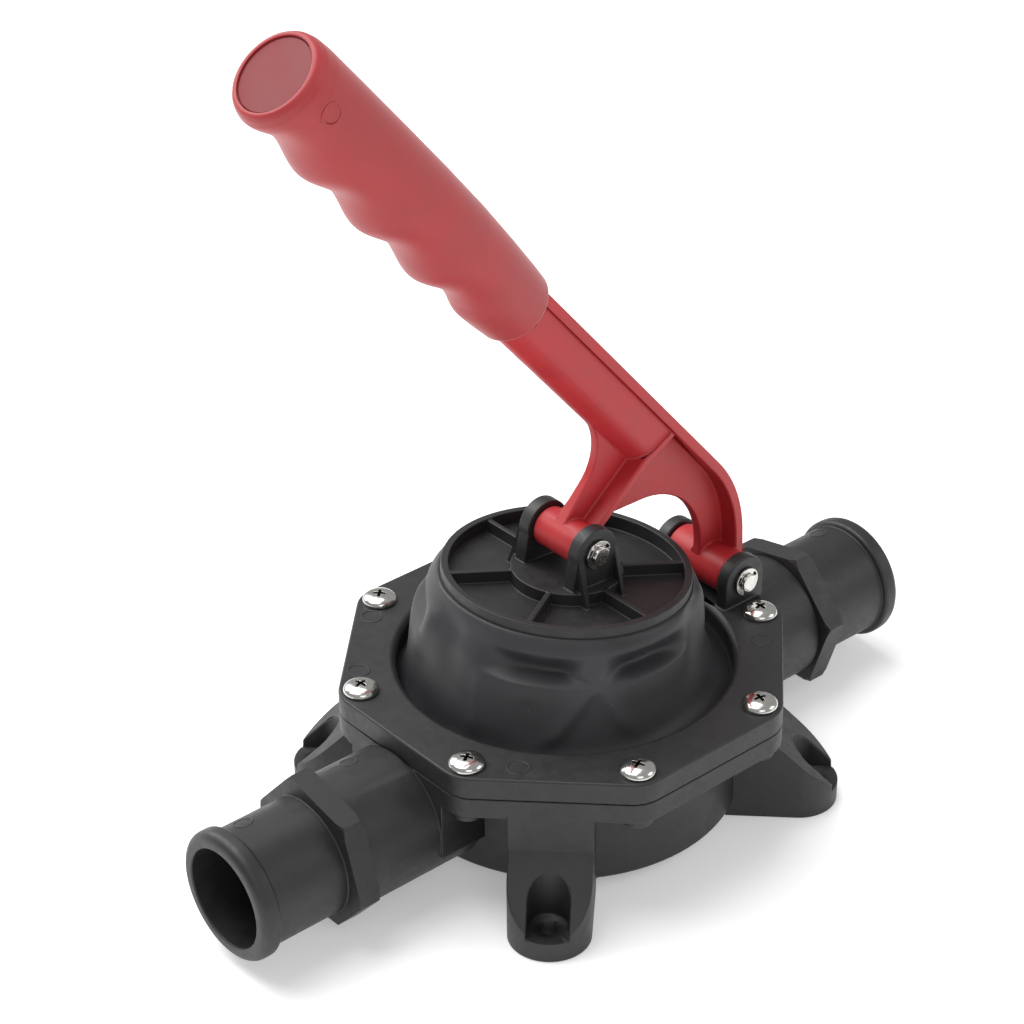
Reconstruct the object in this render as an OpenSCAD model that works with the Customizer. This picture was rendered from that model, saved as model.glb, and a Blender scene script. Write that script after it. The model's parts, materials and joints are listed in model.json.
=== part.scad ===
// Manual diaphragm bilge pump with a long hand lever, for deck or bulkhead mounting.
// The origin is under the centre of the bowl, on the mounting surface. +Z is up.
// The two hose tails lie in line along X. The lever swings in the XZ plane.

/* [Body] */
// Outside radius of the round bowl
bowl_r = 55.5; // [54:0.5:56]
// Wall thickness of the bowl
bowl_wall = 4; // [3:0.5:5]
// Height of the bowl's underside over the mounting surface
bowl_z = 4.5; // [3:0.5:6]
// Height of the underside of the body's octagonal flange
flange_z = 37.6; // [36:0.1:38]
// Thickness of the body's flange
flange_h = 6.7; // [6:0.1:7]
// Half of the width across the octagon's flats
octagon_apothem = 68; // [67:0.5:70]
// Radius of the octagon's rounded corners
octagon_corner_r = 12; // [8:1:16]

/* [Feet] */
// Width of a foot
foot_w = 25.6; // [22:0.2:28]
// Distance from the centre to the middle of a foot's round end
foot_end_r = 74.3; // [72:0.1:76]
// Height at which the foot's sloping face leaves the upright face
foot_slope_z = 26.2; // [24:0.2:28]
// Diameter of the circle through the four mounting holes
mount_pcd = 157; // [154:1:160]
// Radius of a mounting hole
mount_hole_r = 2.75; // [2:0.25:3]

/* [Clamp ring] */
// Thickness of the clamp ring
ring_h = 7.5; // [6:0.5:9]
// Radius of the clamp ring's opening
ring_hole_r = 52.6; // [50:0.1:54]
// Radius of the circle through the eight screws
screw_circle_r = 65.8; // [65:0.1:66.5]
// Radius of a screw head
screw_head_r = 5.6; // [4.5:0.1:6]

/* [Hose tails] */
// Height of the ports' axis
port_z = 24.5; // [24:0.1:25]
// Outside radius of the hose barrel, for hose of 38 mm bore
tail_r = 19; // [18.5:0.1:19.2]
// Radius of the bore through the hose tails and necks
tail_bore_r = 16; // [15:0.1:16.5]
// Distance from the centre to the end of a hose tail
tail_end_x = 133; // [130:1:140]
// Distance from the centre to the end of the body's neck
neck_end_x = 94; // [92:0.5:96]
// Outside radius of the body's neck
neck_r = 21.2; // [21:0.1:22]

/* [Lever] */
// Fulcrum pin's distance from the centre
fulcrum_x = 61.8; // [61:0.1:62.5]
// Fulcrum pin's height
fulcrum_z = 59.8; // [59.5:0.1:61]
// Slope of the lever over the horizontal, at the top of its stroke
lever_slope = 49.7; // [45:0.1:52]
// Distance along the lever from the fulcrum to the plate pin
plate_pin_a = 65.1; // [64.5:0.1:65.5]
// Distance across the lever from the fulcrum to the plate pin
plate_pin_b = 24.3; // [24:0.1:25]
// Radius of the lever's round stem
stem_r = 7.5; // [7:0.1:8]
// Distance along the lever from the fulcrum to the start of the grip
grip_start = 141.5; // [138:0.5:145]
// Length of the grip
grip_l = 125; // [124:0.5:126]
// Largest radius of the grip
grip_r = 14.6; // [14:0.1:15]

/* [Diaphragm plate] */
// Radius of the diaphragm plate
plate_r = 38.8; // [37:0.1:40]
// Height of the plate's rim at the top of the stroke
plate_z = 83.4; // [83:0.1:84]
// Tilt of the plate at the top of the stroke
plate_tilt = 4.8; // [4:0.1:5.5]

/* [Hidden] */
$fn = 64;

black = "#1d1d1f";
rubber_black = "#161616";
red = "#b3202a";
steel = "#c9cbce";

eps = 0.01;                      // overlap that keeps cuts clean
merge = 0.4;                     // how far rounds sink into the flat faces they run into
fit = 0.05;                      // radial clearance of a pin, plug or seat
ring_z = flange_z + flange_h;    // parting face of body and clamp ring
ring_top = ring_z + ring_h;
rim_t = 2;                       // thickness of the diaphragm's clamped rim
rim_r = 62;                      // radius of the clamped rim
screw_r = 2.4;                   // shank radius of a ring screw
boss_r = 5;                      // radius of a screw boss under the flange
boss_drop = 3.3;                 // how far a boss stands below the flange
shoulder_w = 43;                 // width of the block behind each neck
shoulder_z = 18;                 // height of the block's underside

foot_pocket_r = 6.4;             // radius of the screw pocket in a foot
foot_floor = 6.5;                // height of the pocket's floor
foot_sink_r = 5.4;               // radius of the shallow seat round the hole
mount_r = mount_pcd / 2;
foot_tip_r = foot_end_r + foot_w / 2;

socket_x = neck_end_x - 13.5;    // start of the socket that takes the hose tail
socket_r = 18.2;
hex_r = 25.7;                    // corner radius of the hose tail's hexagon
hex_t = 7.5;
hex_turn = 18;                   // turn of the hexagon about the port's axis
hex_chamfer = 1;                 // height of the chamfer on the hexagon's corners
tail_l = tail_end_x - neck_end_x;
bead_r = 20.8;                   // outside radius of the bead at a tail's end
bead_l = 6.5;                    // length of the bead
seal_r = 19.7;                   // radius of the seal ring's centre line
seal_t = 1.2;                    // radius of the seal ring's cord

seat_x = 56;                     // distance of the valve seats from the centre
seat_t = 3;
seat_hole_r = 10.5;
seat_drop = 1.5;                 // how far the valve sits below the port's axis
flap_r = 12.3;
flap_t = 1.6;
flap_hinge_dz = 11.6;            // height of the flap's hinge over the port's axis
flap_hinge_off = 1.9;            // distance of the flap's hinge from the seat
flap_pin_r = 1;
flap_eye_r = 1.8;

pin_r = 3;                       // radius of the lever's two pins
fulcrum_in = 12.5;               // inner faces of the fulcrum lugs
fulcrum_out = 17;
fulcrum_lug_r = 8.4;
plate_in = 9;                    // inner faces of the plate's lugs
plate_out = 13.4;
plate_lug_r = 8;
pin_head_r = 4.6;
pin_head_t = 1.8;
clip_r = 4.7;
clip_t = 0.9;
clip_gap = 0.25;                 // from the lug's face to the clip
pin_tail = 2.6;                  // how far a pin's end stands out of its lug

web_t = 3.5;                     // the lever's web
flange_half = 8.4;               // half of the width of the lever's flange
flange_t = 3.5;
rib_t = 2.7;                     // rib down the lever's short leg
fulcrum_eye_r = 7.3;
plate_eye_r = 6.4;
stem_b = -12.9;                  // the stem's axis, across the lever
outer_b = stem_b - stem_r - flange_t + merge;
grip_b = -15.6;                  // the grip's axis, across the lever
bend_r = 48;                     // outer bend over the fulcrum
bend_a = 33.8;
bend_end = 90 - lever_slope;     // turn from the stem to the upright stretch
arch_r = 26.4;                   // round opening between leg and fulcrum
arch_a = 27.6;
arch_b = 18.3;
leg_fillet_r = 17;               // fillet from the stem to the short leg
leg_a = 90.5;
leg_b = stem_b + stem_r - 0.5 + leg_fillet_r;
core_r = 9;                      // the lever's core inside the grip
core_end = grip_start + 117;
plug_r = 11.4;
plug_t = 3.2;
groove_r = 32;                   // finger grooves under the grip
groove_depth = 3;
groove_start = 28;
groove_pitch = 27.3;

plate_h = 5;                     // depth of the plate's dish
plate_floor = 2.2;               // thickness of the plate's floor
plate_rim_w = 2.4;
hub_r = 17.5;
hub_top = -0.5;                  // top of the hub, below the rim
rib_count = 6;
plate_rib_t = 1.8;
gusset_t = 1.6;
gusset_w = 5.3;                  // how far a gusset's foot stands out of its lug
gusset_h = 10;                   // height of a gusset's top over the plate's rim
wall_t = 2.2;                    // the diaphragm's wall
dome_top = plate_z - 10.4;       // top of the rubber, clear of the tilted plate
dome_bulge_z = plate_z - 18;     // height where the wall turns in toward the top
dome_waist_z = plate_z - 27;
lower_plate_r = 33;
lower_plate_t = 3.5;
bolt_r = 4;
bolt_end = -3;                   // top of the bolt, blind in the hub
bolt_head_h = 5;
washer_r = 8;
washer_t = 1.6;
plate_x = 1;                     // the plate's centre, a little off the bowl's
plate_under = -plate_h - plate_floor + 0.4;      // underside of the upper plate
lower_plate_top = -15.7;         // top of the lower plate, clear of the rubber when tilted
lower_plate_under = lower_plate_top - lower_plate_t;
pin_x = fulcrum_x - plate_pin_a * cos(lever_slope) - plate_pin_b * sin(lever_slope);
pin_z = fulcrum_z + plate_pin_a * sin(lever_slope) - plate_pin_b * cos(lever_slope);

// ---- shared shapes ----

// Octagon with round corners, flats facing along the axes and diagonals
module octagon(apothem, corner_r) {
    reach = (apothem - corner_r) / cos(22.5);
    polygon([for (k = [0:7]) for (side = [-22.5, 22.5])
        reach * [cos(22.5 + 45 * k), sin(22.5 + 45 * k)]
        + corner_r * [cos(22.5 + 45 * k + side), sin(22.5 + 45 * k + side)]]);
    for (k = [0:7])
        rotate(22.5 + 45 * k) translate([reach, 0]) circle(corner_r);
}

// Places its children at the eight screws
module at_screws() {
    for (k = [0:7]) rotate(22.5 + 45 * k) translate([screw_circle_r, 0, 0]) children();
}

// Round bar along Y, between two distances
module bar_y(r, from, to) {
    translate([0, from, 0]) rotate([-90, 0, 0]) cylinder(r = r, h = to - from);
}

// Slab of a 2D outline in the XZ plane, centred on Y
module slab_y(width) {
    translate([0, width / 2, 0]) rotate([90, 0, 0]) linear_extrude(width) children();
}

// Points along an arc
function arc(centre, r, from, to, steps) =
    [for (k = [0:steps]) let (t = from + (to - from) * k / steps) centre + r * [cos(t), sin(t)]];

// Lever frame: X runs from the fulcrum along the lever, Z runs across it to the plate's side
module in_lever() {
    translate([fulcrum_x, 0, fulcrum_z]) rotate([0, -(180 - lever_slope), 0]) children();
}

// Plate frame: the origin is at the centre of the plate's rim
module in_plate() {
    translate([plate_x, 0, plate_z]) rotate([0, plate_tilt, 0]) children();
}

// Port frame: Z runs outward along a port's axis from the pump's centre, X is up
module in_port(outlet) {
    translate([0, 0, port_z]) rotate([0, 0, outlet ? 180 : 0]) rotate([0, -90, 0]) children();
}

// ---- body ----

module foot() {
    intersection() {
        union() {
            translate([bowl_r - bowl_wall, -foot_w / 2, 0])
                cube([foot_end_r - bowl_r + bowl_wall, foot_w, ring_z]);
            translate([foot_end_r, 0, 0]) cylinder(r = foot_w / 2, h = ring_z);
        }
        slab_y(foot_w + 2) polygon([
            [bowl_r - bowl_wall, 0],
            [foot_tip_r + 1, 0],
            [foot_tip_r + 1, octagon_apothem + foot_slope_z - foot_tip_r - 1],
            [octagon_apothem, foot_slope_z],
            [octagon_apothem, flange_z + 1],
            [bowl_r - bowl_wall, flange_z + 1]]);
    }
}

module foot_cuts() {
    translate([mount_r, 0, foot_floor]) cylinder(r = foot_pocket_r, h = 40);
    translate([mount_r, -foot_pocket_r, foot_floor]) cube([20, 2 * foot_pocket_r, 40]);
    translate([mount_r, 0, foot_floor - 0.8]) cylinder(r = foot_sink_r, h = 2);
    translate([mount_r, 0, -1]) cylinder(r = mount_hole_r, h = foot_floor + 2);
}

module pump_body() color(black) difference() {
    union() {
        translate([0, 0, bowl_z]) cylinder(r1 = bowl_r - 1.5, r2 = bowl_r, h = 1.5);
        translate([0, 0, bowl_z + 1.5]) cylinder(r = bowl_r, h = flange_z - bowl_z);
        translate([0, 0, flange_z]) linear_extrude(flange_h)
            octagon(octagon_apothem, octagon_corner_r);
        translate([0, 0, flange_z - boss_drop]) at_screws() cylinder(r = boss_r, h = boss_drop + 1);
        for (k = [0:3]) rotate(45 + 90 * k) foot();
        for (outlet = [false, true]) in_port(outlet) {
            translate([0, 0, bowl_r - 8]) cylinder(r = neck_r, h = neck_end_x - bowl_r + 8);
            translate([shoulder_z - port_z, -shoulder_w / 2, bowl_r - 8])
                cube([flange_z - shoulder_z + 1, shoulder_w, octagon_apothem - bowl_r + 8]);
        }
    }
    translate([0, 0, bowl_z + bowl_wall]) cylinder(r = bowl_r - bowl_wall, h = ring_z);
    translate([0, 0, ring_z - rim_t]) cylinder(r = rim_r + fit, h = 10);
    translate([0, 0, ring_z]) linear_extrude(10) octagon(octagon_apothem + 0.3, octagon_corner_r);
    translate([0, 0, flange_z - boss_drop + 1]) at_screws() cylinder(r = screw_r + fit, h = 20);
    for (k = [0:3]) rotate(45 + 90 * k) foot_cuts();
    for (outlet = [false, true]) in_port(outlet) {
        translate([0, 0, 40]) cylinder(r = tail_bore_r, h = 60);
        translate([0, 0, socket_x]) cylinder(r = socket_r, h = 20);
    }
}

// ---- clamp ring ----

module fulcrum_lug() {
    slab_y(fulcrum_out - fulcrum_in) {
        translate([fulcrum_x, fulcrum_z]) circle(fulcrum_lug_r);
        translate([fulcrum_x - fulcrum_lug_r, ring_top - 1])
            square([2 * fulcrum_lug_r, fulcrum_z - ring_top + 1]);
    }
}

module clamp_ring() color(black) difference() {
    union() {
        difference() {
            translate([0, 0, ring_z]) linear_extrude(ring_h)
                octagon(octagon_apothem, octagon_corner_r);
            translate([0, 0, ring_z - 1]) cylinder(r = ring_hole_r, h = ring_h + 2);
            translate([0, 0, ring_top - 1.5])
                cylinder(r1 = ring_hole_r - eps, r2 = ring_hole_r + 1.5 + eps, h = 1.5 + eps);
        }
        for (side = [-1, 1])
            translate([0, side * (fulcrum_in + fulcrum_out) / 2, 0]) fulcrum_lug();
    }
    translate([0, 0, ring_z - 1]) at_screws() cylinder(r = screw_r + fit, h = ring_h + 2);
    translate([fulcrum_x, 0, fulcrum_z]) bar_y(pin_r + fit, -20, 20);
}

// Pan-head machine screw, its head's underside at z = 0
module ring_screw() {
    head_h = 3;
    dome_r = (screw_head_r * screw_head_r + head_h * head_h) / (2 * head_h);
    difference() {
        union() {
            intersection() {
                translate([0, 0, head_h - dome_r]) sphere(dome_r);
                cylinder(r = screw_head_r, h = head_h);
            }
            translate([0, 0, -ring_h - flange_h]) cylinder(r = screw_r, h = ring_h + flange_h + 1);
        }
        for (turn = [0, 90]) rotate(turn) translate([-2.3, -0.55, 1.3]) cube([4.6, 1.1, 4]);
    }
}

module ring_screws() color(steel) translate([0, 0, ring_top + 0.02]) at_screws() ring_screw();

// ---- diaphragm and its plates ----

// Moulded rubber dome: a flat rim in the clamp, a bulging wall and a flat top under the plate
module diaphragm() color(rubber_black) difference() {
    rotate_extrude() polygon([
        [0, dome_top], [36, dome_top], [41, dome_top - 1.3], [45, dome_top - 4],
        [47.6, dome_bulge_z], [49, dome_waist_z], [50, ring_z + 4], [51.5, ring_z],
        [rim_r - fit, ring_z], [rim_r - fit, ring_z - rim_t], [50, ring_z - rim_t],
        [50 - wall_t, ring_z + 4], [49 - wall_t, dome_waist_z], [47.6 - wall_t, dome_bulge_z - 1],
        [45 - wall_t, dome_top - 5.5], [41 - wall_t, dome_top - 3.3],
        [36 - wall_t, dome_top - wall_t], [0, dome_top - wall_t]]);
    in_plate() translate([0, 0, -20]) cylinder(r = bolt_r + fit, h = 40);
}

// Lug of the clevis that the lever's short leg is pinned in
module plate_lug() {
    slab_y(plate_out - plate_in) {
        translate([pin_x, pin_z]) circle(plate_lug_r);
        translate([pin_x, pin_z]) rotate(-plate_tilt)
            polygon([[merge - plate_lug_r, 0], [plate_lug_r - merge, 0],
                [plate_lug_r + 1, -12.5], [-plate_lug_r - 1, -12.5]]);
    }
}

// Gusset from a lug's outer face down to the plate's floor
module gusset() rotate([90, 0, 90]) linear_extrude(gusset_t, center = true) polygon([
    [plate_out - 1, plate_under + 1], [plate_out - 1, gusset_h], [plate_out, gusset_h],
    [plate_out + gusset_w, plate_under + plate_floor], [plate_out + gusset_w, plate_under + 1]]);

module upper_plate() color(black) difference() {
    union() {
        in_plate() {
            rotate_extrude() polygon([
                [0, plate_under], [plate_r - 2.6, plate_under], [plate_r, plate_under + 2.2],
                [plate_r, 0], [plate_r - plate_rim_w, 0],
                [plate_r - plate_rim_w, plate_under + plate_floor],
                [hub_r, plate_under + plate_floor], [hub_r, hub_top], [0, hub_top]]);
            for (k = [0:rib_count - 1]) rotate(30 + 360 / rib_count * k)
                translate([hub_r - 2, -plate_rib_t / 2, -plate_h])
                    cube([plate_r - plate_rim_w - hub_r + 3, plate_rib_t, plate_h - 0.6]);
            for (side = [0, 1]) mirror([0, side, 0]) for (edge = [-1, 1])
                translate([edge * (plate_lug_r - gusset_t / 2), 0, 0]) gusset();
        }
        for (side = [-1, 1])
            translate([0, side * (plate_in + plate_out) / 2, 0]) plate_lug();
    }
    translate([pin_x, 0, pin_z]) bar_y(pin_r + fit, -20, 20);
    in_plate() translate([0, 0, bolt_end - 20]) cylinder(r = bolt_r + fit, h = 20.3);
}

module lower_plate() color(black) in_plate() difference() {
    translate([0, 0, lower_plate_under]) cylinder(r = lower_plate_r, h = lower_plate_t);
    translate([0, 0, lower_plate_top - 10]) cylinder(r = bolt_r + fit, h = 20);
}

module plate_bolt_washer() color(steel) in_plate() difference() {
    translate([0, 0, lower_plate_under - washer_t]) cylinder(r = washer_r, h = washer_t - eps);
    translate([0, 0, lower_plate_top - 10]) cylinder(r = bolt_r + fit, h = 20);
}

module plate_bolt() color(steel) in_plate() {
    translate([0, 0, lower_plate_under - washer_t - bolt_head_h])
        cylinder(r = washer_r - 0.5, h = bolt_head_h - eps, $fn = 6);
    translate([0, 0, lower_plate_under - 3])
        cylinder(r = bolt_r, h = bolt_end + 3 - lower_plate_under);
}

// ---- pins and clips ----

// Headed pin along Y with its head at +Y and a clip groove near its other end
module headed_pin(lug) {
    end_r = pin_r - 0.6;
    bar_y(pin_r, -lug - clip_gap, lug + 0.1);
    bar_y(end_r, -lug - clip_gap - clip_t - 0.3, -lug);
    bar_y(pin_r, -lug - pin_tail, -lug - clip_gap - clip_t - 0.2);
    intersection() {
        translate([0, lug - 2.8, 0]) sphere(5.3);
        bar_y(pin_head_r, lug + 0.05, lug + pin_head_t + 2);
    }
}

// Open retaining clip on the pin's groove
module pin_clip(lug) {
    front = -lug - clip_gap - clip_t - fit;
    difference() {
        bar_y(clip_r, front, front + clip_t);
        bar_y(pin_r - 0.6 + fit, front - 1, front + clip_t + 1);
        translate([-1.4, front - 1, -clip_r - 1]) cube([2.8, clip_t + 2, clip_r]);
        for (turn = [60, -60]) rotate([0, turn, 0])
            translate([-0.9, front - 1, pin_r + 0.2]) cube([1.8, clip_t + 2, 1]);
    }
}

module fulcrum_pin() color(steel) translate([fulcrum_x, 0, fulcrum_z]) headed_pin(fulcrum_out);
module fulcrum_pin_clip() color(steel) translate([fulcrum_x, 0, fulcrum_z]) pin_clip(fulcrum_out);
module plate_pin() color(steel) translate([pin_x, 0, pin_z]) headed_pin(plate_out);
module plate_pin_clip() color(steel) translate([pin_x, 0, pin_z]) pin_clip(plate_out);

// ---- lever ----

// The lever's outer edge, from the grip round the bend to the fulcrum
function outer_edge(inset) = concat(
    [[grip_start + 2, outer_b + inset]],
    arc([bend_a, outer_b + bend_r], bend_r - inset, -90, -90 - bend_end, 12),
    [(fulcrum_eye_r - merge / 2 - inset) * [-sin(bend_end), -cos(bend_end)]]);

// Flat web, with the arch, the short leg and the fillet into the stem
function web_outline() = concat(
    outer_edge(0.5),
    [[0, 0]],
    arc([arch_a, arch_b], arch_r, -180 + atan(arch_b / arch_a), -bend_end, 18),
    [[plate_pin_a - 3.3, plate_pin_b - 7.4], [plate_pin_a, plate_pin_b],
        [plate_pin_a + plate_eye_r - 0.2, plate_pin_b - 1]],
    arc([leg_a, leg_b], leg_fillet_r, 187, 270, 12),
    [[grip_start + 2, leg_b - leg_fillet_r]]);

// Rib from the stem's end down the short leg to the plate pin's eye
rib_line = [[plate_pin_a - 3.2, outer_b + 1], [plate_pin_a, stem_b + 5], [plate_pin_a + 0.6, plate_pin_b]];
rib_back = [for (k = [2, 1, 0]) rib_line[k] - [rib_t, 0]];

module lever() color(red) in_lever() difference() {
    union() {
        slab_y(web_t) polygon(web_outline());
        slab_y(2 * flange_half) polygon(concat(outer_edge(0),
            [for (k = [14:-1:0]) outer_edge(flange_t)[k]]));
        slab_y(2 * (plate_in - 1)) polygon(concat(rib_line, rib_back));
        intersection() {
            translate([0, 0, stem_b]) rotate([0, 90, 0]) linear_extrude(grip_start + 2) {
                circle(stem_r);
                translate([0, -stem_r]) square([stem_b - outer_b - 1, 2 * stem_r]);
            }
            slab_y(40) polygon([rib_line[0] - [1, 0], rib_line[1] - [1, 0], [plate_pin_a - 1, 0],
                [grip_start + 1, 0], [grip_start + 1, outer_b + 0.5]]);
        }
        bar_y(fulcrum_eye_r, -fulcrum_in + 0.2, fulcrum_in - 0.2);
        translate([plate_pin_a, 0, plate_pin_b])
            bar_y(plate_eye_r, -plate_in + 0.2, plate_in - 0.2);
        translate([grip_start, 0, grip_b]) rotate([0, 90, 0])
            cylinder(r = core_r, h = core_end - grip_start);
    }
    bar_y(pin_r + fit, -20, 20);
    translate([plate_pin_a, 0, plate_pin_b]) bar_y(pin_r + fit, -20, 20);
}

// Moulded grip over the lever's core, with four finger grooves underneath
module grip() color(red) in_lever() difference() {
    translate([grip_start + 2.1, 0, grip_b]) rotate([0, 90, 0]) rotate_extrude() polygon([
        [0, 0], [10.6, 0], [11.6, 4], [12.9, 16], [14.2, 40], [grip_r, 60],
        [grip_r, grip_l - 10], [14.3, grip_l - 5], [13.6, grip_l - 2.8], [12.6, grip_l - 2.1],
        [0, grip_l - 2.1]]);
    translate([grip_start, 0, grip_b]) rotate([0, 90, 0]) cylinder(r = core_r + fit, h = grip_l - plug_t);
    translate([grip_start + grip_l - plug_t, 0, grip_b]) rotate([0, 90, 0])
        cylinder(r = plug_r, h = plug_t + 1);
    for (k = [0:3])
        translate([grip_start + groove_start + groove_pitch * k, 0,
            grip_b + grip_r - groove_depth + groove_r]) bar_y(groove_r, -20, 20);
}

module grip_end_plug() color(red) in_lever()
    translate([grip_start + grip_l - plug_t + fit, 0, grip_b]) rotate([0, 90, 0])
        cylinder(r = plug_r - fit, h = plug_t - 0.6);

// ---- hose tails, seals and valves ----

module hose_tail(outlet) color(black) in_port(outlet) translate([0, 0, neck_end_x]) difference() {
    union() {
        translate([0, 0, socket_x - neck_end_x + 0.5])
            cylinder(r = socket_r - fit, h = neck_end_x - socket_x);
        intersection() {
            rotate(hex_turn) cylinder(r = hex_r, h = hex_t, $fn = 6);
            translate([-tail_r, -40, 0]) cube([80, 80, hex_t]);
            rotate_extrude() polygon([
                [0, 0], [hex_r - 1.5, 0], [hex_r + 0.2, hex_chamfer],
                [hex_r + 0.2, hex_t - hex_chamfer], [hex_r - 1.5, hex_t], [0, hex_t]]);
        }
        cylinder(r = tail_r, h = tail_l - 2.5);
        rotate_extrude() polygon(concat(
            [[tail_bore_r - 1, tail_l - bead_l]],
            arc([bead_r - 1.3, tail_l - bead_l + 1.3], 1.3, -90, 0, 4),
            arc([bead_r - 3, tail_l - 3], 3, 0, 90, 6),
            [[tail_bore_r - 1, tail_l]]));
    }
    translate([0, 0, -30]) cylinder(r = tail_bore_r, h = 100);
    rotate_extrude() translate([seal_r, 0]) circle(seal_t + fit, $fn = 32);
}

module seal_ring(outlet) color(rubber_black) in_port(outlet)
    translate([0, 0, neck_end_x + 0.02]) intersection() {
        rotate_extrude() translate([seal_r, 0]) circle(seal_t, $fn = 32);
        cylinder(r = 30, h = 10);
    }

// A seat's flap lies on its inner side at the inlet and on its outer side at the outlet
function flap_side(outlet) = outlet ? 1 : -1;
function flap_face(outlet) = outlet ? seat_x + seat_t : seat_x;
function hinge_at(outlet) = flap_face(outlet) + flap_side(outlet) * flap_hinge_off;

module valve_seat(outlet) color(black) in_port(outlet) difference() {
    union() {
        translate([0, 0, seat_x]) cylinder(r = tail_bore_r - fit, h = seat_t);
        for (side = [-1, 1]) translate([flap_hinge_dz, side * 5.8, 0]) {
            translate([0, 0, hinge_at(outlet)]) bar_y(flap_eye_r, -1, 1);
            translate([-flap_eye_r, -1, outlet ? seat_x + 1 : hinge_at(outlet)])
                cube([2 * flap_eye_r, 2, outlet ? hinge_at(outlet) - seat_x - 1 : seat_x + 1 - hinge_at(outlet)]);
        }
    }
    translate([-seat_drop, 0, seat_x - 1]) cylinder(r = seat_hole_r, h = seat_t + 2);
    translate([flap_hinge_dz, 0, hinge_at(outlet)]) bar_y(flap_pin_r + fit, -20, 20);
}

module flap(outlet) color(rubber_black) in_port(outlet) difference() {
    union() {
        translate([-seat_drop, 0, outlet ? flap_face(outlet) + 0.1 : flap_face(outlet) - 0.1 - flap_t])
            cylinder(r = flap_r, h = flap_t);
        translate([flap_hinge_dz, 0, hinge_at(outlet)]) bar_y(flap_eye_r, -4.5, 4.5);
        translate([flap_hinge_dz - 4, -4.5,
            outlet ? flap_face(outlet) + 0.1 : flap_face(outlet) - 0.1 - flap_t])
            cube([4, 9, flap_t]);
    }
    translate([flap_hinge_dz, 0, hinge_at(outlet)]) bar_y(flap_pin_r + fit, -20, 20);
}

module flap_pin(outlet) color(steel) in_port(outlet)
    translate([flap_hinge_dz, 0, hinge_at(outlet)]) bar_y(flap_pin_r, -7, 7);

pump_body();
clamp_ring();
ring_screws();
diaphragm();
upper_plate();
lower_plate();
plate_bolt();
plate_bolt_washer();
plate_pin();
plate_pin_clip();
lever();
grip();
grip_end_plug();
fulcrum_pin();
fulcrum_pin_clip();
hose_tail(false);  // inlet_hose_tail
hose_tail(true);  // outlet_hose_tail
seal_ring(false);  // inlet_seal_ring
seal_ring(true);  // outlet_seal_ring
valve_seat(false);  // inlet_valve_seat
valve_seat(true);  // outlet_valve_seat
flap(false);  // inlet_flap
flap(true);  // outlet_flap
flap_pin(false);  // inlet_flap_pin
flap_pin(true);  // outlet_flap_pin
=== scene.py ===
# Look of a hand bilge pump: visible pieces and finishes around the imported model.
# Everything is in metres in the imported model's frame. The origin is under the bowl, +Z is up.

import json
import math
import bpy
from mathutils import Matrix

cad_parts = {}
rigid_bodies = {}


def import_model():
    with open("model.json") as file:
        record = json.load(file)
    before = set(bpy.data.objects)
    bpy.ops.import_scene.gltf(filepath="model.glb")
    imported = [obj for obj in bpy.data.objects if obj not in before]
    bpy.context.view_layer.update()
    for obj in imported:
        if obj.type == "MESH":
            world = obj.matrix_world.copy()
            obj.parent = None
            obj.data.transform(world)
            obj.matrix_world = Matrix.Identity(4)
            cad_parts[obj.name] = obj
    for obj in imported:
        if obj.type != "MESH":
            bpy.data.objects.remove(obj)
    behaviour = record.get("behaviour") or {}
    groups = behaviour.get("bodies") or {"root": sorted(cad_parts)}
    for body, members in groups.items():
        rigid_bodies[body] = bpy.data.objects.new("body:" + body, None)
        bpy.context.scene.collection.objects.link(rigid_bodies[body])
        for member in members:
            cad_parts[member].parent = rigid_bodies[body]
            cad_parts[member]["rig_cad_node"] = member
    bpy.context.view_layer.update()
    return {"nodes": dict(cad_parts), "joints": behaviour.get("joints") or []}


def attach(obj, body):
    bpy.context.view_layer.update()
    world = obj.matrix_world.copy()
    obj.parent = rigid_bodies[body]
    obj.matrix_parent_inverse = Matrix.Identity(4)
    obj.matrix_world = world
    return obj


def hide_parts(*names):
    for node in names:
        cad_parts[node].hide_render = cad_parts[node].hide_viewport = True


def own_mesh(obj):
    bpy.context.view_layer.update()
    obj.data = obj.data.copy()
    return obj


bl_info = {
    "name": "Hand bilge pump",
    "version": (1, 0, 0),
    "blender": (4, 5, 0),
    "location": "3D View > Sidebar > Bilge pump",
    "description": "Models and finishes the visible pieces of a hand-operated diaphragm bilge pump",
    "category": "Object",
}

import bmesh
import bpy
from mathutils import Matrix, Vector

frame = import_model()
JOINTS = {joint["name"]: joint for joint in frame["joints"]}

MM = 0.001
FULCRUM = Vector(JOINTS["lever_swing"]["pos_m"])
RING_TOP = 51.8 * MM        # upper face of the clamp ring
PORT_HEIGHT = 24.5 * MM     # axis of both necks

DUST = "#8d8d90"
# Painted sheen: the paler rubber laid round the knots of the diaphragm's creases.
STAR_SHEEN_PAINTED = "#56565c"
# Painted shade: the two dark colours laid inside the screws' recesses.
RECESS_SHADE_DARK = "#2b2a29"
RECESS_SHADE_PALE = "#4c4a47"


# ---- sizes and colours that can be changed ----


class PumpSizes(bpy.types.PropertyGroup):
    edge_radius: bpy.props.FloatProperty(
        name="Edge radius", description="Rounding of the moulded edges",
        default=0.6 * MM, min=0.1 * MM, max=1.5 * MM, unit="LENGTH")
    lever_slope: bpy.props.FloatProperty(
        name="Lever slope", description="Slope of the lever at the top of its stroke",
        default=math.radians(49.7), subtype="ANGLE")
    groove_depth: bpy.props.FloatProperty(
        name="Groove depth", description="Depth of the finger grooves under the grip",
        default=3.0 * MM, min=0.0, max=4.0 * MM, unit="LENGTH")
    fold_depth: bpy.props.FloatProperty(
        name="Fold depth", description="Depth of the folds in the diaphragm",
        default=5.0 * MM, min=0.0, max=6 * MM, unit="LENGTH")


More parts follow.
